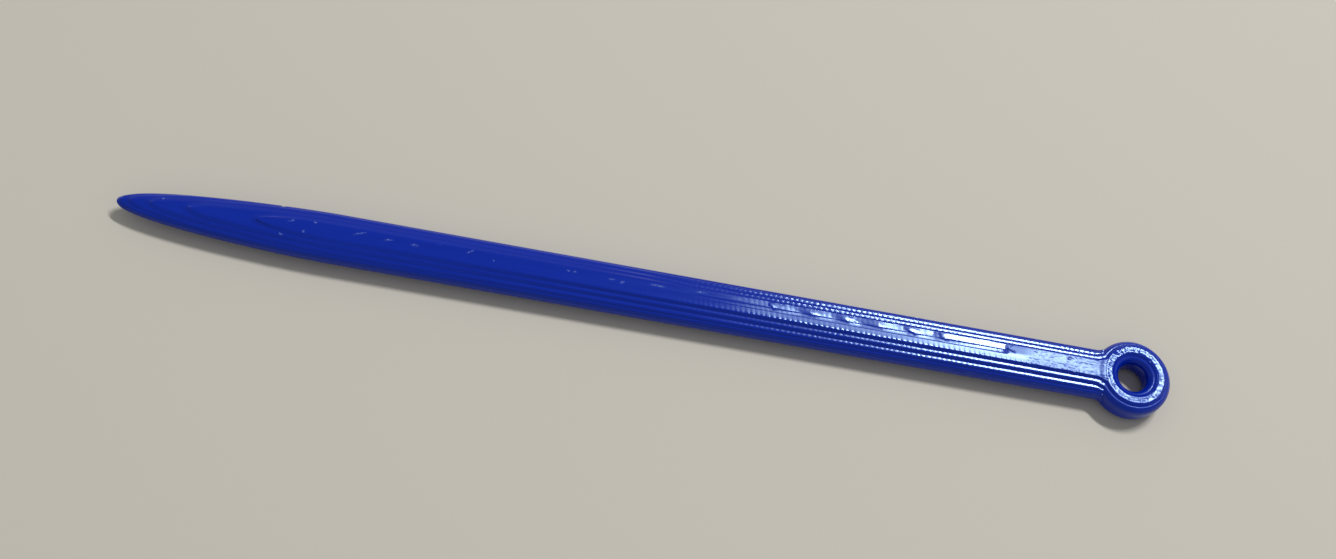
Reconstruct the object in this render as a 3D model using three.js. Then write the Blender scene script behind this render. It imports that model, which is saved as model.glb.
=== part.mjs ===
// A craft needle printed flat in plastic, built as the stack of layers that it is laid down in.
// Millimetres. X runs along the needle from its point at -X to its eye at +X, Z is up, and the
// origin is on the resting face, half-way along.
import * as THREE from 'three';

// Layers: each is a strand thick, and the stack of them is the needle's thickness.
const LAYER_HEIGHT = 0.25;
const LAYER_COUNT = 12;
const EDGE_ROUNDING = 0.1;

// Overall length, and the width of the shank at its widest layer.
const NEEDLE_LENGTH = 100;
const SHANK_WIDTH = 5;

// Shank section: an oval whose shoulders are flattened. A shoulder starts at this share of the
// full width, level with the top or bottom face, and widens at this rate towards the middle.
const SHOULDER_START = 0.27;
const SHOULDER_SLOPE = 1.26;

// Point: how far back its taper reaches, its fullness seen from above and from the side
// (a smaller power is blunter), and how gently the taper runs out into the shank.
const POINT_LENGTH = 20;
const POINT_PLAN_POWER = 0.44;
const POINT_SIDE_POWER = 0.36;
const POINT_RUN_OUT = 1.5;

// Eye: a ring whose bore is narrowest half-way up, with a fillet to the shank on either side.
// The powers of its section make it flat on its sides and round at its edges.
const EYE_DIAMETER = 7.5;
const EYE_BORE = 2.8;
const EYE_FILLET = 1.5;
const RING_SIDE_POWER = 4;
const RING_EDGE_POWER = 0.77;

// Fineness of the outlines: steps along each side of the point, and the angle of an arc's step.
const POINT_STEPS = 10;
const ARC_STEP = Math.PI / 12;

// A rounded edge keeps a little upright wall on its layer.
const FULLEST_ROUNDING = 0.45;

const thickness = LAYER_HEIGHT * LAYER_COUNT;
const edgeRounding = Math.min(EDGE_ROUNDING, FULLEST_ROUNDING * LAYER_HEIGHT);
const pointX = -NEEDLE_LENGTH / 2;
const eyeX = NEEDLE_LENGTH / 2 - EYE_DIAMETER / 2;
const ringMiddle = (EYE_DIAMETER + EYE_BORE) / 4;
const ringHalfWidth = (EYE_DIAMETER - EYE_BORE) / 4;

// Share of its full half width that the shank's section keeps at a height above its middle.
function shankShare(height, halfThickness) {
  const level = Math.min(1, Math.abs(height) / halfThickness);
  const oval = Math.sqrt(1 - level ** 2);
  return Math.min(oval, SHOULDER_START + SHOULDER_SLOPE * (1 - level));
}

// Share of its full half width that the ring's section keeps at a height above its middle.
function ringShare(height) {
  const level = (2 * Math.abs(height)) / thickness;
  return (1 - level ** RING_SIDE_POWER) ** RING_EDGE_POWER;
}

// Share of the shank's section that the point has reached, at a distance back from its end.
function pointShare(distance, power) {
  const left = 1 - Math.min(1, distance / POINT_LENGTH);
  return (1 - left ** POINT_RUN_OUT) ** power;
}

// Distance back from the end at which the point is thick enough to hold a layer.
function pointStart(height) {
  const share = (2 * Math.abs(height)) / thickness;
  const left = 1 - share ** (1 / POINT_SIDE_POWER);
  return POINT_LENGTH * (1 - left ** (1 / POINT_RUN_OUT));
}

// Half width of the point's layer at a distance back from the end.
function pointHalfWidth(distance, height) {
  const halfThickness = (thickness / 2) * pointShare(distance, POINT_SIDE_POWER);
  const halfWidth = (SHANK_WIDTH / 2) * pointShare(distance, POINT_PLAN_POWER);
  return halfWidth * shankShare(height, halfThickness);
}

// Points along an arc, both ends included.
function arc(centreX, centreY, radius, from, to) {
  const steps = Math.max(2, Math.ceil(Math.abs(to - from) / ARC_STEP));
  const points = [];
  for (let i = 0; i <= steps; i += 1) {
    const angle = from + ((to - from) * i) / steps;
    const x = centreX + radius * Math.cos(angle);
    const y = centreY + radius * Math.sin(angle);
    points.push(new THREE.Vector2(x, y));
  }
  return points;
}

// The same points on the other side of the needle's centreline.
function otherSide(points) {
  return points.map((point) => new THREE.Vector2(point.x, -point.y));
}

// The fillet between a layer's shank and its ring. It leaves the shank abreast of its own centre,
// and meets the ring in the direction of the ring's centre.
function eyeFillet(height) {
  const shankHalf = (SHANK_WIDTH / 2) * shankShare(height, thickness / 2);
  const ringRadius = ringMiddle + ringHalfWidth * ringShare(height);
  const centreY = shankHalf + EYE_FILLET;
  const reach = ringRadius + EYE_FILLET;
  const centreX = eyeX - Math.sqrt(reach ** 2 - centreY ** 2);
  const turn = Math.atan2(-centreY, eyeX - centreX);
  return { shankHalf, centreX, centreY, ringRadius, turn };
}

// Outline of a shank layer: round the point, along both sides, and square across at the eye.
function shankOutline(height) {
  const start = pointStart(height);
  const side = [];
  for (let i = 1; i <= POINT_STEPS; i += 1) {
    const distance = start + (POINT_LENGTH - start) * (i / POINT_STEPS) ** 2;
    side.push(new THREE.Vector2(pointX + distance, pointHalfWidth(distance, height)));
  }
  const { centreX, shankHalf } = eyeFillet(height);
  side.push(new THREE.Vector2(centreX, shankHalf));
  const end = new THREE.Vector2(pointX + start, 0);
  return new THREE.Shape([end, ...otherSide(side), ...side.reverse()]);
}

// Outline of an eye layer: a neck as wide as the shank, flaring by a fillet into the ring.
function eyeOutline(height) {
  const { centreX, centreY, ringRadius, turn } = eyeFillet(height);
  const fillet = arc(centreX, centreY, EYE_FILLET, -Math.PI / 2, turn);
  const ringFrom = Math.PI + turn;
  const ring = arc(eyeX, 0, ringRadius, -ringFrom, ringFrom).slice(1, -1);
  const outline = new THREE.Shape([...otherSide(fillet), ...ring, ...fillet.reverse()]);
  const boreRadius = ringMiddle - ringHalfWidth * ringShare(height);
  const bore = arc(eyeX, 0, boreRadius, 0, 2 * Math.PI).slice(1);
  outline.holes.push(new THREE.Path(bore));
  return outline;
}

// One layer: its outline with rounded edges top and bottom, at its height in the stack.
function layer(name, outline, index, group) {
  const geometry = new THREE.ExtrudeGeometry(outline, {
    depth: LAYER_HEIGHT - 2 * edgeRounding,
    bevelThickness: edgeRounding,
    bevelSize: edgeRounding,
    bevelOffset: -edgeRounding,
    bevelSegments: 2,
  });
  const bluePlastic = new THREE.MeshStandardMaterial({ color: 0x0a2f9e, roughness: 0.3, metalness: 0 });
  const mesh = new THREE.Mesh(geometry, bluePlastic);
  mesh.name = name;
  mesh.position.z = index * LAYER_HEIGHT + edgeRounding;
  group.add(mesh);
}

// What a layer is called, counted from the resting face.
function layerName(part, index) {
  if (index === 0) return `${part}_bottom_layer`;
  if (index === LAYER_COUNT - 1) return `${part}_top_layer`;
  return `${part}_layer_${String(index + 1).padStart(2, '0')}`;
}

const needle = new THREE.Group();
needle.name = 'craft_needle';
for (let index = 0; index < LAYER_COUNT; index += 1) {
  const height = (index + 0.5) * LAYER_HEIGHT - thickness / 2;
  layer(layerName('shank', index), shankOutline(height), index, needle);
  layer(layerName('eye', index), eyeOutline(height), index, needle);
}

export default needle;
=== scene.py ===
"""A craft needle printed flat in glossy blue plastic, drawn as the strands that each layer was laid in."""
import math

import bmesh
import bpy
from mathutils import Matrix, Vector, noise


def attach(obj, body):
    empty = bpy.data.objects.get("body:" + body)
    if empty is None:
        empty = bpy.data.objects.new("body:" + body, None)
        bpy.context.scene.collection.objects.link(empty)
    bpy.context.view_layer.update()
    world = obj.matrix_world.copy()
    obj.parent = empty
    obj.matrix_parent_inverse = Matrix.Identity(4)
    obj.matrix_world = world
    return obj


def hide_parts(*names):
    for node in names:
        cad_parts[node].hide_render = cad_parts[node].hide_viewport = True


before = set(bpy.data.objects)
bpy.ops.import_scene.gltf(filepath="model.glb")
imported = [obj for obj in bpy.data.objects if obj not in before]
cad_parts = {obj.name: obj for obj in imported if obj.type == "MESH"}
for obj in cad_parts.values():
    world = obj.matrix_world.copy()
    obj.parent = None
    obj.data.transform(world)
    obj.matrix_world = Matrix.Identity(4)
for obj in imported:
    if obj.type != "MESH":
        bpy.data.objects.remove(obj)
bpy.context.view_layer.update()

# The needle's own sizes, in millimetres: a finished mesh is brought to metres.
MILLIMETRE = 0.001
LAYER_HEIGHT = 0.25
LAYER_COUNT = 12
NEEDLE_LENGTH = 100
SHANK_WIDTH = 5

# Shank section: an oval whose shoulders start at a share of its width and widen at a rate.
SHOULDER_START = 0.27
SHOULDER_SLOPE = 1.26

# Point: the reach of its taper, its fullness from above and from the side, and how gently it runs out.
POINT_LENGTH = 20
POINT_PLAN_POWER = 0.44
POINT_SIDE_POWER = 0.36
POINT_RUN_OUT = 1.5

# Eye: a ring with a fillet to the shank, flat on its sides and round at its edges.
EYE_DIAMETER = 7.5
EYE_BORE = 2.8
EYE_FILLET = 1.5
RING_SIDE_POWER = 4
RING_EDGE_POWER = 0.77

thickness = LAYER_HEIGHT * LAYER_COUNT
half_layer = LAYER_HEIGHT / 2
point_x = -NEEDLE_LENGTH / 2
eye_x = NEEDLE_LENGTH / 2 - EYE_DIAMETER / 2
ring_middle = (EYE_DIAMETER + EYE_BORE) / 4
ring_half_width = (EYE_DIAMETER - EYE_BORE) / 4
top_layer = LAYER_COUNT - 1

# A layer's side is a soft step: its longest reach either way on the shank and on the ring, its share of the
# ledge, the ledge that is too small for one, the crease there, its rows, and the flat crown beyond.
STEP_REACH = 0.15
RING_STEP_REACH = 0.18
LEDGE_SHARE = 0.45
SMALL_LEDGE = 0.2
SIDE_CREASE = 0.008
STEP_ROWS = 5
CROWN_WIDTH = 0.1

# The longest ledges that count along the point and at its end, how finely and often they are searched, and
# the steps along the point's outline.
FLANK_LEDGE, END_LEDGE = 0.6, 1.6
LEDGE_PARTS, LEDGE_HALVINGS = 16, 8
POINT_STEPS = 500

# The point half is smoother, most of all on its far side: its layers run into each other in a slope, with a
# share of the step left, and its top edges are rounder. In the bore a share of the step is left too.
STEP_START = 4
NEAR_SLOPE_END, NEAR_STEP_LEFT = -28, 0.35
FAR_SLOPE_END, FAR_STEP_LEFT = -8, 0.1
SIDE_TURN = 0.6
ROUND_REACH = 0.36
BORE_STEP_LEFT = 0.7

# A strand's sections along its length, the most of a layer's half that they take up, the heights in a layer
# over which its side and its face are uneven, and the turn past which an edge is sharp.
STRAND_STEP = 0.08
MOST_REACH = 0.94
UPPER_SIDE = 0.06
FACE_HEIGHT = 0.99 * half_layer
SHARP_ANGLE = 0.7

# The ripple that the nozzle leaves across a strand: its pitch, depth, skew and sway, its strength and how
# that varies, where it has grown to its full depth and its share before that, and its shares on the ledges
# of the far and the near side. On the top face: its share near the groove, what the near edge adds and where,
# its share on the far strand, and how dull that is where it has it all.
RIPPLE_PITCH = 0.5
RIPPLE_DEPTH = 0.0045
RIPPLE_SKEW = 0.2
RIPPLE_SWAY = 1.3
RIPPLE_MEAN, RIPPLE_UNEVEN = 0.75, 0.5
RIPPLE_FULL, RIPPLE_LEAST = 16, 0.2
FAR_RIPPLE, NEAR_RIPPLE = 1, 0.75
NEAR_FACE_RIPPLE = 0.5
NEAR_EDGE_RIPPLE, EDGE_RIPPLE_START, EDGE_RIPPLE_FULL = 1.3, -0.4, -0.75
FAR_FACE_RIPPLE, RIPPLED_DULL = 0.6, 0.3

# The top face has a strand on either side of a shallow groove: rows of it, by their inset from the edge.
TOP_ROWS = (STEP_REACH, 0.2, 0.27, 0.34, 0.42, 0.5, 0.58, 0.66, 0.71, 0.75, 0.79, 0.83)
GROOVE_DEPTH = 0.018
GROOVE_TOP, GROOVE_FOOT = 0.24, 0.13
GROOVE_START, GROOVE_FULL = 2, 7
GROOVE_FADE, GROOVE_END = 33.4, 33.9

# On the eye half of the top face, the far strand lies in flats that fall gently towards the eye: where each
# starts and ends, the tilt of the strand in the gaps between them, their round ragged heads, and where the
# tails of all but the long flats get duller.
FAR_FLATS = (
    (10.6, 13.3), (14.6, 16.7), (17.9, 19.0), (21.1, 23.5), (24.2, 26.3), (27.4, 33.3), (34.0, 36.1),
)
FLAT_FALL = 0.035
GAP_TILT = 0.07
FAR_STRAND_Y, FAR_STRAND_HALF = 0.5, 0.3
HEAD_ROUNDING, HEAD_RAGGED = 0.3, 0.3
TAIL_START, TAIL_END, TAIL_DULL, TAIL_UNEVEN = 0.5, 1.6, 0.25, 0.4
LONG_FLAT = 4

# How dull the top face is: at most, where that starts, where the near strand clears and by how much, and at
# the near edge.
STRAND_DULL = 0.6
DULL_START, DULL_FULL = 5, 15
CLEAR_START, CLEAR_END, CLEARING = 21, 29, 0.4
NEAR_EDGE_Y, NEAR_EDGE_DULL = -0.62, 0.1

# Next to the eye the top face is streaky and uneven.
MOTTLE_START, MOTTLE_RUN_IN = 35, 1.5
MOTTLE_DEPTH = 0.015
MOTTLE_DULL = 0.32

# Small faults of the print: pits in the top face, and the place where each turn of strand starts, with the
# blob where it ends on the near side. Both are slight on the layers near the top.
PITS = ((27.0, 0.5), (39.8, 0.5), (33.6, 0.12))
PIT_DEPTH, PIT_RADIUS, PIT_FADE = 0.035, 0.17, 6
SEAM_X, SEAM_WIDTH, SEAM_DEPTH, SEAM_LAYERS = -35.2, 0.16, 0.08, 9
BLOB_SHIFT, BLOB_SHARE, SLIGHT_SEAM = 0.45, 0.5, 0.2

# Scuffs on the top face, and pale glints painted on it as painted highlights: middle, half length, half
# width, and turn in degrees. They fade towards their edges and are broken up.
SCUFFS_AND_GLINTS = (
    (-36.0, 0.7, 0.15, 0.12, 60), (-33.9, 0.45, 0.5, 0.14, 30), (-32.7, -0.5, 0.15, 0.18, 80),
    (-27.7, 0.3, 0.7, 0.1, 20), (-25.0, 0.18, 0.5, 0.08, 5), (-22.6, 0.15, 0.5, 0.07, 0),
    (-20.2, 0.7, 0.35, 0.1, 15), (-17.5, 0.45, 0.5, 0.09, 35), (-8.3, 0.32, 0.14, 0.2, 80),
    (-7.7, 0.3, 0.14, 0.2, 100), (-4.2, 0.2, 0.4, 0.09, 0), (-3.2, 0.16, 0.25, 0.1, 10),
    (0.1, 0.4, 0.9, 0.12, 0), (4.2, 0.5, 0.7, 0.1, 5), (7.6, 0.5, 0.7, 0.12, 0), (9.2, 0.42, 0.5, 0.1, 0),
)
LONGEST_SCUFF_AND_GLINT = 1.5
SCUFF_AND_GLINT_STRENGTH = 0.6
SCUFF_AND_GLINT_EDGE, SCUFF_AND_GLINT_HEART = 1.1, 0.3
SCUFF_AND_GLINT_MEAN, SCUFF_AND_GLINT_UNEVEN = 0.6, 0.8

# Glints where burrs catch the light, painted as pale spots: where each is, and its radius. They are ragged
# and fade towards their edges.
PAINTED_BURR_GLINTS = (
    (-49.6, 0.31, 1.7, 0.13), (-45.7, 0.54, 2.25, 0.16), (-34.75, -1.0, 2.95, 0.2), (-35.4, 2.07, 1.9, 0.2),
    (-31.9, 0.62, 3.0, 0.12),
)
LONGEST_BURR_GLINT = 1
BURR_GLINT_RAGGED = 0.9
BURR_GLINT_EDGE, BURR_GLINT_HEART = 1.1, 0.4

# The eye's strands: steps round the ring and the gap that its seam is closed over, the lobes that the nozzle
# left across them, their share below the top layer and the height where they are full, the lumps of the top
# strands, and the groove between these: rows away from its middle, and their shares of its depth.
RING_STEPS, SEAM_GAP = 464, 1e-4
RING_LOBES = 58
RING_LOBE_DEPTH = 0.009
RING_LOBE_SWAY = 5
LOBE_MEAN, LOBE_UNEVEN, LOBE_LEAST = 0.8, 1.7, 0.1
INNER_LOBE_SHARE = 0.5
LOBES_FULL = 0.11
RING_LUMPS = 1.2
RING_GROOVE = 0.009
RING_GROOVE_ROWS = ((0.09, 0.3), (0.045, 0.8), (0, 1), (-0.045, 0.8), (-0.09, 0.3))
RING_DULL = 0.15

# Stretches of the ring's top that lean, in degrees round from the needle's axis, with how much: outwards from
# a radius, and into the bore. They run in and out over an angle.
LEAN_OUT, LEAN_OUT_RADIUS = (118, 132, 0.07), 2.2
LEAN_IN = (-50, 75, 0.09)
LEAN_RUN_IN = 10

# The neck: steps along its fillets, how far their ends sink into the ring's side as a share of their radius,
# the share of its top face that is left there, how far it is tucked into the ring and narrowed there, its
# drop below the ring's faces, which is slight between layers, and how far in its sides and its mouth reach.
FLARE_STEPS = 24
FLARE_SINK, SINK_START = 0.1, 0.5
TOP_LEFT, TOP_END_START = 0.05, 0.2
FLARE_TUCK, TUCK_START, TUCK_LEFT = 0.35, 0.85, 0.3
FLARE_DROP, DROP_RUN_IN = 0.03, 0.6
INNER_DROP, INNER_DROP_RUN_IN = 0.006, 0.1
FLARE_REACH, MOUTH_REACH = 1, 0.1

# Plastic: its deeper and its brighter blue, the paler blue where it is worn and where glints are painted, the
# tint of its gloss, its refraction, its roughness along the streaks and what dullness adds to it, how fine
# its streaks, flecks, scratches and grain are, where they start and are full, the flecks' strength, and the
# grain in metres.
DEEP_BLUE = (0, 0.0145, 0.315, 1)
BRIGHT_BLUE = (0, 0.0185, 0.36, 1)
WORN_AND_GLINT_BLUE = (0.35, 0.5, 0.85, 1)
GLOSS_TINT = (0.5, 0.73, 1, 1)
PLASTIC_IOR = 1.47
GLOSSIEST, LEAST_GLOSSY, DULL_ROUGHNESS = 0.1, 0.15, 0.33
STREAK_SCALE = (90, 2600, 2600)
FLECK_SCALE, SCRATCH_SCALE, GRAIN_SCALE = 320, 9000, 4200
STREAK_LOW, STREAK_HIGH = 0.3, 0.7
FLECK_EDGE, FLECK_HEART, FLECK_STRENGTH = 0.032, 0.015, 0.25
SCRATCH_FAINT, SCRATCH_FULL = 0.42, 0.62
GRAIN_DEPTH = 0.000008

# Camera: its place in metres, the way it looks, the way its top points, its lens and its sensor.
CAMERA_PLACE = (-0.010449, -0.067102, 0.143583)
CAMERA_LOOK = (0.07271, 0.43585, -0.89708)
CAMERA_UP = (-0.17542, 0.89102, 0.41869)
CAMERA_LENS, CAMERA_SENSOR = 45.35, 36
NEAREST_VIEW = 0.005

# Studio, in metres: the key light's place, aim, size and power, the world's strength, and the floor.
KEY_PLACE, KEY_AIM = (0.225, 0.29, 0.6), (0.02, 0, 0)
KEY_SIZE, KEY_WATTS = (0.22, 0.05), 3.2
WORLD_STRENGTH = 0.37
FLOOR_REACH = 3
FLOOR_COLOUR = (0.58, 0.555, 0.49, 1)
FLOOR_ROUGHNESS, FLOOR_GLOSS = 0.9, 0.2


def smooth(low, high, value):
    """A soft rise from 0 to 1 between two values."""
    share = min(1, max(0, (value - low) / (high - low)))
    return share * share * (3 - 2 * share)


def uneven(x, y, z):
    """Soft unevenness, from about -1 to 1."""
    return noise.noise(Vector((x, y, z)))


def shank_share(height, half_thickness):
    """Share of its full half width that the shank's section keeps at a height over its middle."""
    level = min(1, abs(height) / half_thickness)
    return min(math.sqrt(1 - level**2), SHOULDER_START + SHOULDER_SLOPE * (1 - level))


def ring_share(height):
    """Share of its full half width that the ring's section keeps at a height over its middle."""
    return (1 - (2 * abs(height) / thickness) ** RING_SIDE_POWER) ** RING_EDGE_POWER


def point_share(distance, power):
    """Share of the shank's section that the point has reached, at a distance from its end."""
    left = 1 - min(1, distance / POINT_LENGTH)
    return (1 - left**POINT_RUN_OUT) ** power


def point_start(height):
    """Distance from the end at which the point is thick enough to hold a layer."""
    share = 2 * abs(height) / thickness
    left = 1 - share ** (1 / POINT_SIDE_POWER)
    return POINT_LENGTH * (1 - left ** (1 / POINT_RUN_OUT))


def point_half_width(distance, height):
    """Half width of the point's layer at a distance from the end."""
    half_thickness = thickness / 2 * point_share(distance, POINT_SIDE_POWER)
    half_width = SHANK_WIDTH / 2 * point_share(distance, POINT_PLAN_POWER)
    return half_width * shank_share(height, half_thickness)


def layer_height(index):
    """Height of a layer's middle over the needle's middle."""
    return (index + 0.5) * LAYER_HEIGHT - thickness / 2


def neighbours(index):
    """The places in the stack below and above a layer, which may lie past its ends."""
    return index - 1, index + 1


def in_stack(index):
    """Whether there is a layer at a place in the stack."""
    return 0 <= index < LAYER_COUNT


def shank_reach(index):
    """Half width of a shank layer, or none past the ends of the stack."""
    if in_stack(index):
        return SHANK_WIDTH / 2 * shank_share(layer_height(index), thickness / 2)
    return 0


def ring_reach(index):
    """Half the width of a ring layer's section, or none past the ends of the stack."""
    if in_stack(index):
        return ring_half_width * ring_share(layer_height(index))
    return 0


def eye_fillet(index):
    """Where a layer's shank flares into its ring: the fillet's centre, and the angle that it turns to."""
    centre_y = shank_reach(index) + EYE_FILLET
    centre_x = eye_x - math.sqrt((ring_middle + ring_reach(index) + EYE_FILLET) ** 2 - centre_y**2)
    return centre_x, centre_y, math.atan2(-centre_y, eye_x - centre_x)


def layer_name(part, index):
    """The name of a layer, counted from the resting face."""
    if index == 0:
        return part + "_bottom_layer"
    if index == top_layer:
        return part + "_top_layer"
    return f"{part}_layer_{index + 1:02d}"


def walk(points, step):
    """Points a step apart along a chain of points, both ends included."""
    lengths = [0.0]
    for a, b in zip(points, points[1:]):
        lengths.append(lengths[-1] + (b - a).length)
    count = max(2, round(lengths[-1] / step))
    walked = []
    at = 0
    for i in range(count + 1):
        goal = lengths[-1] * i / count
        while at < len(points) - 2 and lengths[at + 1] < goal:
            at += 1
        share = (goal - lengths[at]) / (lengths[at + 1] - lengths[at])
        walked.append(points[at].lerp(points[at + 1], share))
    return walked


def on_circle(centre_x, centre_y, radius, angle):
    """The point at an angle round a circle."""
    return Vector((centre_x + radius * math.cos(angle), centre_y + radius * math.sin(angle), 0))


def other_side(points):
    """The same points on the near side of the needle."""
    return [Vector((point.x, -point.y, 0)) for point in points]


def inwards(path):
    """Ways into the layer's plastic, which is on the path's left."""
    ways = []
    for before, after in zip(path[:1] + path, path[1:] + path[-1:]):
        ways.append(Vector((before.y - after.y, after.x - before.x, 0)).normalized())
    return ways


def half_side(ledge, longest):
    """Half of a layer's side, from mid-layer to its face: inset from the edge, and height.
    It rounds off to a ledge, flares out to meet a wider layer, or is straight where no step is wanted."""
    rows = []
    crease = SIDE_CREASE if longest else 0
    for i in range(STEP_ROWS + 1):
        share = i / STEP_ROWS
        if abs(ledge) < SMALL_LEDGE or not longest:
            rows.append(((ledge / 2 + crease) * share, half_layer * share))
        else:
            reach = math.copysign(min(longest, LEDGE_SHARE * abs(ledge)), ledge)
            rows.append((reach * share, half_layer * share * (3 - share**2) / 2))
    return rows


def ledges(index, reach):
    """How much wider a layer is than its neighbours, below and above."""
    return [reach(index) - reach(neighbour) for neighbour in neighbours(index)]


def longest_steps(index, face_step, wall_step):
    """Longest steps of a layer, below and above: at the ends of the stack, or between layers."""
    return [wall_step if in_stack(neighbour) else face_step for neighbour in neighbours(index)]


def side_section(both_ledges, both_steps):
    """Section of a layer's side, from inside its lower face round to inside its upper face."""
    halves = []
    for ledge, longest in zip(both_ledges, both_steps):
        half = half_side(ledge, longest)
        halves.append(half + [(half[-1][0] + CROWN_WIDTH, half_layer)])
    below, above = halves
    return [(inset, -rise) for inset, rise in reversed(below[1:])] + above


def blend(one, other, share):
    """A section part of the way from one to another."""
    return [tuple(a + (b - a) * share for a, b in zip(*rows)) for rows in zip(one, other)]


def over_top(section, index, share=1):
    """A section carried on over a share of the top face, if it is the top layer's."""
    if index < top_layer:
        return section
    edge = section[-2][0]
    share *= (TOP_ROWS[-1] - edge) / (TOP_ROWS[-1] - STEP_REACH)
    return section[:-2] + [(edge + (inset - STEP_REACH) * share, half_layer) for inset in TOP_ROWS]


def covers(height, place):
    """Whether the layer at a height reaches a place at the point."""
    distance = place.x - point_x
    return distance > point_start(height) and abs(place.y) < point_half_width(distance, height)


def point_ledge(place, inward, height, other_height):
    """How much wider a layer is than a neighbour, at a place on its edge at the point."""
    wider_neighbour = abs(other_height) < abs(height)
    way = -inward if wider_neighbour else inward
    longest = FLANK_LEDGE + (END_LEDGE - FLANK_LEDGE) * inward.x**2
    low, high = 0, longest / LEDGE_PARTS
    while high < longest and covers(other_height, place + way * high) == wider_neighbour:
        low, high = high, high + longest / LEDGE_PARTS
    for _ in range(LEDGE_HALVINGS):
        middle = (low + high) / 2
        if covers(other_height, place + way * middle) == wider_neighbour:
            low = middle
        else:
            high = middle
    return -high if wider_neighbour else high


def shank_sections(index, path):
    """Sections of a shank layer's side along its path: nearly a slope at the point, a step at the eye."""
    sections = []
    for place, inward in zip(path, inwards(path)):
        here = ledges(index, shank_reach)
        for side, neighbour in enumerate(neighbours(index)):
            if place.x < point_x + POINT_LENGTH and in_stack(neighbour):
                here[side] = point_ledge(place, inward, layer_height(index), layer_height(neighbour))
        slope = side_section(here, longest_steps(index, ROUND_REACH, 0))
        step = side_section(here, longest_steps(index, STEP_REACH, STEP_REACH))
        far = smooth(SIDE_TURN, -SIDE_TURN, inward.y)
        slope_end = NEAR_SLOPE_END + (FAR_SLOPE_END - NEAR_SLOPE_END) * far
        step_left = NEAR_STEP_LEFT + (FAR_STEP_LEFT - NEAR_STEP_LEFT) * far
        share = step_left + (1 - step_left) * smooth(slope_end, STEP_START, place.x)
        sections.append(over_top(blend(slope, step, share), index))
    return sections


def ring_side(index):
    """Section of a ring layer's outer side."""
    return side_section(ledges(index, ring_reach), longest_steps(index, STEP_REACH, RING_STEP_REACH))


def bore_side(index):
    """Section of a ring layer's side in the bore, where a share of the step is left between the layers."""
    here = ledges(index, ring_reach)
    slope = side_section(here, longest_steps(index, RING_STEP_REACH, 0))
    step = side_section(here, longest_steps(index, RING_STEP_REACH, RING_STEP_REACH))
    return blend(slope, step, BORE_STEP_LEFT)


def ripple(x, y, lane):
    """Ripple of a strand, slightly askew, never quite even and weak at the point, from about -1 to 1."""
    sway = uneven(0.5 * x, 3.1 * lane, 0)
    strength = RIPPLE_MEAN + RIPPLE_UNEVEN * uneven(0.9 * x, 5.3 * lane, 4)
    strength *= RIPPLE_LEAST + (1 - RIPPLE_LEAST) * smooth(0, RIPPLE_FULL, x)
    turn = math.pi * (x + RIPPLE_SKEW * y) / RIPPLE_PITCH + 2.4 * lane + RIPPLE_SWAY * sway
    return strength * (2 * abs(math.sin(turn)) - 1)


def top_ripple(y, dull):
    """Share of the ripple on the top face: most at its near edge, and none where the far strand is glossy."""
    if y < 0:
        return NEAR_FACE_RIPPLE + NEAR_EDGE_RIPPLE * smooth(EDGE_RIPPLE_START, EDGE_RIPPLE_FULL, y)
    return FAR_FACE_RIPPLE * smooth(0, RIPPLED_DULL, dull)


def far_strand(x, y):
    """Lie of the far strand on the top face, and how dull it is there.
    Each flat has a round glossy head, and a tail that gets duller unless the flat is a long one."""
    aside = (y - FAR_STRAND_Y) / FAR_STRAND_HALF
    ragged = uneven(1.7 * x, 2.6 * y, 9)
    along = x - HEAD_ROUNDING * aside * aside + HEAD_RAGGED * ragged
    for (start, end), (following, _) in zip(FAR_FLATS, FAR_FLATS[1:]):
        if start <= along <= end:
            tail = smooth(TAIL_START, TAIL_END, along - start) if end - start < LONG_FLAT else 0
            fall = FLAT_FALL * (0.5 - (along - start) / (end - start))
            return fall, tail * (TAIL_DULL + TAIL_UNEVEN * ragged)
        if end < along < following:
            share = (along - end) / (following - end)
            tilt = GAP_TILT * math.sin(math.pi * share) * (y - FAR_STRAND_Y)
            return FLAT_FALL * (smooth(0, 1, share) - 0.5) + tilt, STRAND_DULL
    return 0, STRAND_DULL


def mottle(x, y):
    """Streaky unevenness of the top face next to the eye."""
    return MOTTLE_DEPTH * (uneven(0.8 * x, 4.2 * y, 2) + 0.5 * uneven(2.6 * x, 8 * y, 7))


def top_face(x, y):
    """Lift of the top face over its layer, and how dull it is there."""
    lift, dull = 0, STRAND_DULL - CLEARING * smooth(CLEAR_START, CLEAR_END, x)
    if y > 0:
        lift, dull = far_strand(x, y)
    elif y < NEAR_EDGE_Y:
        dull = NEAR_EDGE_DULL
    groove = smooth(GROOVE_START, GROOVE_FULL, x) * smooth(GROOVE_END, GROOVE_FADE, x)
    lift -= GROOVE_DEPTH * groove * smooth(GROOVE_TOP, GROOVE_FOOT, abs(y))
    mottled = smooth(MOTTLE_START, MOTTLE_START + MOTTLE_RUN_IN, x)
    lift += mottled * mottle(x, y)
    dull = (dull + mottled * (MOTTLE_DULL - dull)) * smooth(DULL_START, DULL_FULL, x)
    for pit_x, pit_y in PITS:
        away = ((x - pit_x) ** 2 + (y - pit_y) ** 2) / PIT_RADIUS**2
        if away < PIT_FADE:
            lift -= PIT_DEPTH * math.exp(-away)
    return lift, dull


def scuffs_and_glints_at(x, y):
    """How scuffed the top face is at a place, and how much pale glint is painted there."""
    worst = 0
    for middle_x, middle_y, half_length, half_width, turn in SCUFFS_AND_GLINTS:
        dx, dy = x - middle_x, y - middle_y
        if abs(dx) > LONGEST_SCUFF_AND_GLINT:
            continue
        c, s = math.cos(math.radians(turn)), math.sin(math.radians(turn))
        away = math.hypot((c * dx + s * dy) / half_length, (c * dy - s * dx) / half_width)
        broken = SCUFF_AND_GLINT_MEAN + SCUFF_AND_GLINT_UNEVEN * uneven(5 * x, 5 * y, 1)
        worst = max(worst, broken * smooth(SCUFF_AND_GLINT_EDGE, SCUFF_AND_GLINT_HEART, away))
    return SCUFF_AND_GLINT_STRENGTH * worst


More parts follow.
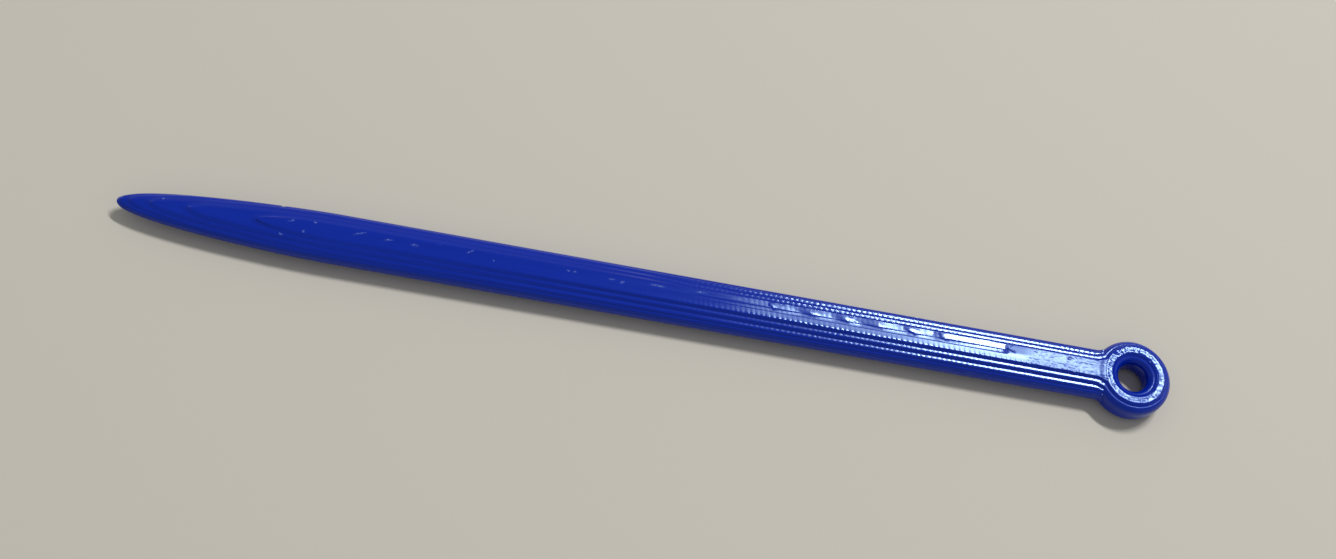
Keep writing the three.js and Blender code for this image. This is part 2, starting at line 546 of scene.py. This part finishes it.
def burr_glint(place):
    """How much pale glint is painted for a burr at a place."""
    worst = 0
    for x, y, z, radius in PAINTED_BURR_GLINTS:
        if abs(place.x - x) < LONGEST_BURR_GLINT:
            away = (place - Vector((x, y, z))).length / radius + BURR_GLINT_RAGGED * noise.noise(place * 7)
            worst = max(worst, smooth(BURR_GLINT_EDGE, BURR_GLINT_HEART, away))
    return worst


def seam(index, x, y):
    """Dent where the strand starts, on the far side, and the blob where it ends, on the near side."""
    depth = SEAM_DEPTH if index < SEAM_LAYERS else SLIGHT_SEAM * SEAM_DEPTH
    if y > 0:
        away = (x - SEAM_X) / SEAM_WIDTH
    else:
        away = (x - SEAM_X - BLOB_SHIFT) / SEAM_WIDTH
        depth *= -BLOB_SHARE
    return depth * math.exp(-away * away)


def lay_strand(mesh, path, reaches, sections, index, surface):
    """A strand laid along a path, with the layer's plastic on the path's left, and closed across to its other
    half. No row of it reaches past the middle of the layer."""
    last = len(path) - 1
    across = len(sections[0]) - 1
    level = (index + 0.5) * LAYER_HEIGHT
    dull, scuff_and_glint = mesh.verts.layers.float["dull"], mesh.verts.layers.float["scuff_and_glint"]
    ways = inwards(path)
    deepest = [max(inset for inset, _ in section) for section in sections]
    shares = [min(1, MOST_REACH * reach / depth) for reach, depth in zip(reaches, deepest)]
    grid = bmesh.ops.create_grid(mesh, x_segments=last, y_segments=across, size=1)["verts"]
    rows = {}
    for vert in grid:
        run = round((vert.co.x + 1) / 2 * last)
        row = round((vert.co.y + 1) / 2 * across)
        inset, rise = sections[run][row]
        place = path[run] + ways[run] * inset * (shares[run] if inset > 0 else 1)
        place.z = level + rise
        surface(vert, place, path[run], ways[run], rise, dull, scuff_and_glint)
        vert.co = place
        rows[run, row] = vert
    for row in (0, across):
        chain = [mesh.edges.get((rows[run, row], rows[run + 1, row])) for run in range(last)]
        middle = last // 2
        bmesh.ops.bridge_loops(mesh, edges=chain[:middle - 1] + chain[middle + 1:])
    bmesh.ops.holes_fill(mesh, edges=[edge for edge in mesh.edges if edge.is_boundary], sides=0)


def new_layer():
    """An empty mesh that can say how dull and how scuffed its surface is, and where pale glints are painted
    on it.
    """
    mesh = bmesh.new()
    mesh.verts.layers.float.new("dull")
    mesh.verts.layers.float.new("scuff_and_glint")
    return mesh


def finish_layer(mesh):
    """Faces turned outwards and shaded smooth, apart from the sharp edges where layers meet."""
    bmesh.ops.recalc_face_normals(mesh, faces=mesh.faces)
    for face in mesh.faces:
        face.smooth = True
    for edge in mesh.edges:
        edge.smooth = edge.calc_face_angle(0) < SHARP_ANGLE
    return mesh


def shank_outline(index):
    """Far side of a shank layer's outline, from the point to the eye, and how far in its middle is."""
    start = point_start(layer_height(index))
    side = [Vector((point_x + start, 0, 0))]
    for i in range(1, POINT_STEPS + 1):
        distance = start + (POINT_LENGTH - start) * (i / POINT_STEPS) ** 2
        side.append(Vector((point_x + distance, point_half_width(distance, layer_height(index)), 0)))
    side.append(Vector((eye_fillet(index)[0], shank_reach(index), 0)))
    side = walk(side, STRAND_STEP)
    reaches = []
    for before, here, after in zip(side, side[1:], side[2:] + side[-1:]):
        along = after - before
        reaches.append(here.y * along.length / max(along.x, 1e-6))
    return side, reaches[:1] + reaches


def shank_layer(index):
    """A lengthwise layer: strand laid along one side, round the point and back."""
    side, reaches = shank_outline(index)
    path = side[:0:-1] + other_side(side)

    def surface(vert, place, edge, inward, rise, dull, scuff_and_glint):
        place += inward * seam(index, edge.x, edge.y)
        # Pale spots painted where burrs catch the light, as painted glints.
        vert[scuff_and_glint] = burr_glint(place)
        if rise < UPPER_SIDE:
            return
        lane = index + (0.5 if edge.y > 0 else 0)
        strength = FAR_RIPPLE if edge.y > 0 else NEAR_RIPPLE
        if index == top_layer and rise > FACE_HEIGHT:
            lift, vert[dull] = top_face(place.x, place.y)
            place.z += lift
            # Scuffs on the top face, and pale glints painted there as painted highlights.
            vert[scuff_and_glint] = max(vert[scuff_and_glint], scuffs_and_glints_at(place.x, place.y))
            strength = top_ripple(place.y, vert[dull])
        place.z += RIPPLE_DEPTH * strength * ripple(place.x, place.y, lane)

    mesh = new_layer()
    lay_strand(mesh, path, reaches[:0:-1] + reaches, shank_sections(index, path), index, surface)
    return finish_layer(mesh)


def lean(degrees, stretch):
    """How much a stretch of the ring's top leans at an angle round from the needle's axis."""
    start, end, most = stretch
    return most * smooth(start - LEAN_RUN_IN, start, degrees) * smooth(end + LEAN_RUN_IN, end, degrees)


def ring_top(place, index):
    """Lift of a ring strand over its layer: lobes of uneven length and height, and lumpy on the top layer."""
    x, y = place.x - eye_x, place.y
    radius, turn = math.hypot(x, y), math.atan2(y, x)
    lane = index + (0.5 if radius > ring_middle else 0)
    sway = uneven(1.1 * x, 1.1 * y, 1.7 * lane)
    height = max(LOBE_LEAST, LOBE_MEAN + LOBE_UNEVEN * uneven(2.4 * x, 2.4 * y, 2.3 * lane))
    wave = height * (abs(math.sin(turn * RING_LOBES / 2 + RING_LOBE_SWAY * sway + 2 * lane)) - 1)
    if index < top_layer:
        return INNER_LOBE_SHARE * RING_LOBE_DEPTH * wave
    wave += RING_LUMPS * uneven(3.1 * x, 3.1 * y, 11)
    degrees = math.degrees(turn)
    fall = lean(degrees, LEAN_OUT) * (radius - LEAN_OUT_RADIUS)
    fall += lean(degrees, LEAN_IN) * max(0, ring_middle - radius)
    return RING_LOBE_DEPTH * wave - fall


def eye_ring(mesh, index):
    """The strands that close round the bore, spun about its axis."""
    level = (index + 0.5) * LAYER_HEIGHT
    outer, bore = ring_middle + ring_reach(index), ring_middle - ring_reach(index)
    profile = [(outer - inset, rise) for inset, rise in ring_side(index)]
    if index == top_layer:
        for away, share in RING_GROOVE_ROWS:
            profile.append((ring_middle + away, half_layer - RING_GROOVE * share))
    profile += [(bore + inset, rise) for inset, rise in reversed(bore_side(index))]
    loop = [mesh.verts.new((eye_x + radius, 0, level + rise)) for radius, rise in profile]
    edges = [mesh.edges.new(pair) for pair in zip(loop, loop[1:] + loop[:1])]
    bmesh.ops.spin(
        mesh, geom=loop + edges, cent=(eye_x, 0, 0), axis=(0, 0, 1), dvec=(0, 0, 0),
        angle=2 * math.pi, steps=RING_STEPS, use_merge=True, use_duplicate=False,
    )
    bmesh.ops.remove_doubles(mesh, verts=mesh.verts, dist=SEAM_GAP)
    dull = mesh.verts.layers.float["dull"]
    for vert in mesh.verts:
        over = smooth(UPPER_SIDE, LOBES_FULL, vert.co.z - level)
        if over > 0:
            vert.co.z += over * ring_top(vert.co, index)
            vert[dull] = RING_DULL


def flare_edge(index, angle):
    """How far along its fillet a layer's flare is at an angle, and its edge there, sunk into the ring."""
    centre_x, centre_y, turn = eye_fillet(index)
    along = (angle + math.pi / 2) / (turn + math.pi / 2)
    radius = EYE_FILLET * (1 + FLARE_SINK * smooth(SINK_START, 1, along))
    return along, on_circle(centre_x, centre_y, radius, angle)


def flare_ledges(index, angle):
    """How much wider a layer's flare is than its neighbours', below and above, at an angle."""
    inward = Vector((math.cos(angle), math.sin(angle), 0))
    here = flare_edge(index, angle)[1]
    wider = ledges(index, shank_reach)
    for side, neighbour in enumerate(neighbours(index)):
        if in_stack(neighbour):
            wider[side] = inward.dot(flare_edge(neighbour, angle)[1] - here)
    return wider


def eye_flare(mesh, index):
    """The neck between shank and ring, flaring by a fillet on either side and tucked into the ring."""
    turn = eye_fillet(index)[2]
    outer = ring_middle + ring_reach(index)
    fillet, mouth, sections = [], [], []
    for i in range(FLARE_STEPS + 1):
        angle = -math.pi / 2 + (turn + math.pi / 2) * i / FLARE_STEPS
        along, edge = flare_edge(index, angle)
        fillet.append(edge)
        section = side_section(flare_ledges(index, angle), longest_steps(index, STEP_REACH, STEP_REACH))
        section = over_top(section, index, 1 - (1 - TOP_LEFT) * smooth(TOP_END_START, 1, along))
        tuck = 1 - (1 - TUCK_LEFT) * smooth(TUCK_START, 1, along)
        sections.append([(tuck * inset, rise) for inset, rise in section])
        mouth_angle = math.pi - turn + 2 * turn * i / FLARE_STEPS
        mouth.append(on_circle(eye_x, 0, outer - FLARE_TUCK, mouth_angle))
    path = other_side(fillet) + mouth + fillet[::-1]
    sections += [sections[-1]] * len(mouth) + sections[::-1]
    fillet_reaches = [FLARE_REACH] * len(fillet)
    reaches = fillet_reaches + [MOUTH_REACH] * len(mouth) + fillet_reaches

    def surface(vert, place, edge, inward, rise, dull, scuff_and_glint):
        away = math.hypot(place.x - eye_x, place.y)
        drop = FLARE_DROP * smooth(outer + DROP_RUN_IN, outer, away)
        if index != (top_layer if rise > 0 else 0):
            drop = INNER_DROP * smooth(outer + INNER_DROP_RUN_IN, outer, away)
        if rise > UPPER_SIDE:
            place.z -= drop
            if index == top_layer:
                place.z += mottle(place.x, place.y)
                vert[dull] = MOTTLE_DULL
        elif rise < -UPPER_SIDE:
            place.z += drop

    lay_strand(mesh, path, reaches, sections, index, surface)


def eye_layer(index):
    """A layer of the eye: its ring of strand and the neck that flares into it."""
    mesh = new_layer()
    eye_ring(mesh, index)
    eye_flare(mesh, index)
    return finish_layer(mesh)


def add_node(tree, kind, settings=(), values=()):
    """A node with its settings, and with a value or a link on its sockets."""
    node = tree.nodes.new(kind)
    for name, value in dict(settings).items():
        setattr(node, name, value)
    for socket, value in dict(values).items():
        if isinstance(value, bpy.types.NodeSocket):
            tree.links.new(value, node.inputs[socket])
        else:
            node.inputs[socket].default_value = value
    return node


def add_value(tree, operation, *values):
    """What a sum or product of values and links comes to."""
    node = add_node(tree, "ShaderNodeMath", {"operation": operation}, dict(enumerate(values)))
    return node.outputs["Value"]


def plastic_blue(tree, place, streaks, scuff_and_glint):
    """The plastic's blue, streaked along the strands, with pale flecks, broken scuffs and painted pale
    glints.
    """
    tint = add_node(tree, "ShaderNodeValToRGB", values={"Fac": streaks})
    dark, light = tint.color_ramp.elements
    dark.position, dark.color = STREAK_LOW, DEEP_BLUE
    light.position, light.color = STREAK_HIGH, BRIGHT_BLUE
    cells = add_node(tree, "ShaderNodeTexVoronoi", values={"Vector": place, "Scale": FLECK_SCALE})
    fleck = add_node(tree, "ShaderNodeMapRange", values={
        "Value": cells.outputs["Distance"],
        "From Min": FLECK_EDGE, "From Max": FLECK_HEART, "To Max": FLECK_STRENGTH,
    })
    scratches = add_node(tree, "ShaderNodeTexNoise", values={
        "Vector": place, "Scale": SCRATCH_SCALE, "Detail": 3,
    })
    scratched = add_node(tree, "ShaderNodeMapRange", values={
        "Value": scratches.outputs["Fac"], "From Min": SCRATCH_FAINT, "From Max": SCRATCH_FULL,
    })
    scuffs_and_glints = add_value(tree, "MULTIPLY", scratched.outputs["Result"], scuff_and_glint)
    worn_and_glinting = add_value(tree, "MAXIMUM", fleck.outputs["Result"], scuffs_and_glints)
    blue = add_node(tree, "ShaderNodeMix", {"data_type": "RGBA"}, {
        "Factor": worn_and_glinting, "A": tint.outputs["Color"], "B": WORN_AND_GLINT_BLUE,
    })
    return blue.outputs["Result"]


def plastic_gloss(tree, streaks, dull):
    """The plastic's roughness: a little along the streaks, and more where it is dull."""
    gloss = add_node(tree, "ShaderNodeMapRange", values={
        "Value": streaks, "From Min": STREAK_LOW, "From Max": STREAK_HIGH,
        "To Min": GLOSSIEST, "To Max": LEAST_GLOSSY,
    })
    return add_value(tree, "MULTIPLY_ADD", dull, DULL_ROUGHNESS, gloss.outputs["Result"])


def plastic_grain(tree, place, dull):
    """Fine grain where the plastic is dull."""
    grain = add_node(tree, "ShaderNodeTexNoise", values={"Vector": place, "Scale": GRAIN_SCALE, "Detail": 3})
    height = add_value(tree, "MULTIPLY", grain.outputs["Fac"], dull)
    bump = add_node(tree, "ShaderNodeBump", values={"Strength": 1, "Distance": GRAIN_DEPTH, "Height": height})
    return bump.outputs["Normal"]


def blue_plastic():
    """Glossy royal-blue filament plastic: streaked along the strands, dulled in places, scuffed, and painted
    with pale glints.
    """
    material = bpy.data.materials.new("blue_plastic")
    material.use_nodes = True
    tree = material.node_tree
    place = add_node(tree, "ShaderNodeTexCoord").outputs["Object"]
    dull = add_node(tree, "ShaderNodeAttribute", {"attribute_name": "dull"}).outputs["Fac"]
    # Scuffs and painted glints, both drawn in the paler blue.
    scuff_and_glint = add_node(tree, "ShaderNodeAttribute", {"attribute_name": "scuff_and_glint"}).outputs["Fac"]
    lengthwise = add_node(tree, "ShaderNodeMapping", values={"Vector": place, "Scale": STREAK_SCALE})
    streaks = add_node(tree, "ShaderNodeTexNoise", values={
        "Vector": lengthwise.outputs["Vector"], "Scale": 1, "Detail": 4, "Roughness": 0.6,
    }).outputs["Fac"]
    shader = tree.nodes["Principled BSDF"]
    shader.inputs["IOR"].default_value = PLASTIC_IOR
    shader.inputs["Specular Tint"].default_value = GLOSS_TINT
    tree.links.new(plastic_blue(tree, place, streaks, scuff_and_glint), shader.inputs["Base Color"])
    tree.links.new(plastic_gloss(tree, streaks, dull), shader.inputs["Roughness"])
    tree.links.new(plastic_grain(tree, place, dull), shader.inputs["Normal"])
    return material


def add_piece(name, mesh, material):
    """A finished mesh as a piece of the needle, in metres, standing for the layer of the same name."""
    bmesh.ops.scale(mesh, vec=(MILLIMETRE,) * 3, verts=mesh.verts)
    data = bpy.data.meshes.new(name)
    mesh.to_mesh(data)
    mesh.free()
    data.materials.append(material)
    piece = bpy.data.objects.new(name + "_strands", data)
    bpy.context.scene.collection.objects.link(piece)
    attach(piece, "root")
    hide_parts(name)


def photo_camera():
    """The camera at the photograph's viewing angle."""
    look = Vector(CAMERA_LOOK).normalized()
    right = look.cross(Vector(CAMERA_UP)).normalized()
    up = right.cross(look)
    data = bpy.data.cameras.new("photo_camera")
    data.lens = CAMERA_LENS
    data.sensor_width = CAMERA_SENSOR
    data.clip_start = NEAREST_VIEW
    camera = bpy.data.objects.new("photo_camera", data)
    camera.matrix_world = Matrix((right, up, -look)).transposed().to_4x4()
    camera.location = CAMERA_PLACE
    bpy.context.scene.collection.objects.link(camera)
    bpy.context.scene.camera = camera


def key_light():
    """The rectangular studio light, facing the needle."""
    data = bpy.data.lights.new("key_light", "AREA")
    data.shape = "RECTANGLE"
    data.size, data.size_y = KEY_SIZE
    data.energy = KEY_WATTS
    light = bpy.data.objects.new("key_light", data)
    light.location = KEY_PLACE
    light.rotation_euler = (Vector(KEY_AIM) - Vector(KEY_PLACE)).to_track_quat("-Z", "Y").to_euler()
    bpy.context.scene.collection.objects.link(light)


def pale_floor():
    """The plain pale floor."""
    mesh = bmesh.new()
    bmesh.ops.create_grid(mesh, x_segments=1, y_segments=1, size=FLOOR_REACH)
    data = bpy.data.meshes.new("floor")
    mesh.to_mesh(data)
    mesh.free()
    material = bpy.data.materials.new("pale_floor")
    material.use_nodes = True
    shader = material.node_tree.nodes["Principled BSDF"]
    shader.inputs["Base Color"].default_value = FLOOR_COLOUR
    shader.inputs["Roughness"].default_value = FLOOR_ROUGHNESS
    shader.inputs["Specular IOR Level"].default_value = FLOOR_GLOSS
    data.materials.append(material)
    floor = bpy.data.objects.new("floor", data)
    bpy.context.scene.collection.objects.link(floor)


def studio():
    """Floor, soft light and a pale world."""
    pale_floor()
    key_light()
    world = bpy.data.worlds.new("studio")
    world.use_nodes = True
    background = world.node_tree.nodes["Background"]
    background.inputs["Color"].default_value = (1, 1, 1, 1)
    background.inputs["Strength"].default_value = WORLD_STRENGTH
    bpy.context.scene.world = world
    bpy.context.scene.view_settings.view_transform = "Standard"


photo_camera()
studio()
plastic = blue_plastic()
for layer in range(LAYER_COUNT):
    add_piece(layer_name("shank", layer), shank_layer(layer), plastic)
    add_piece(layer_name("eye", layer), eye_layer(layer), plastic)
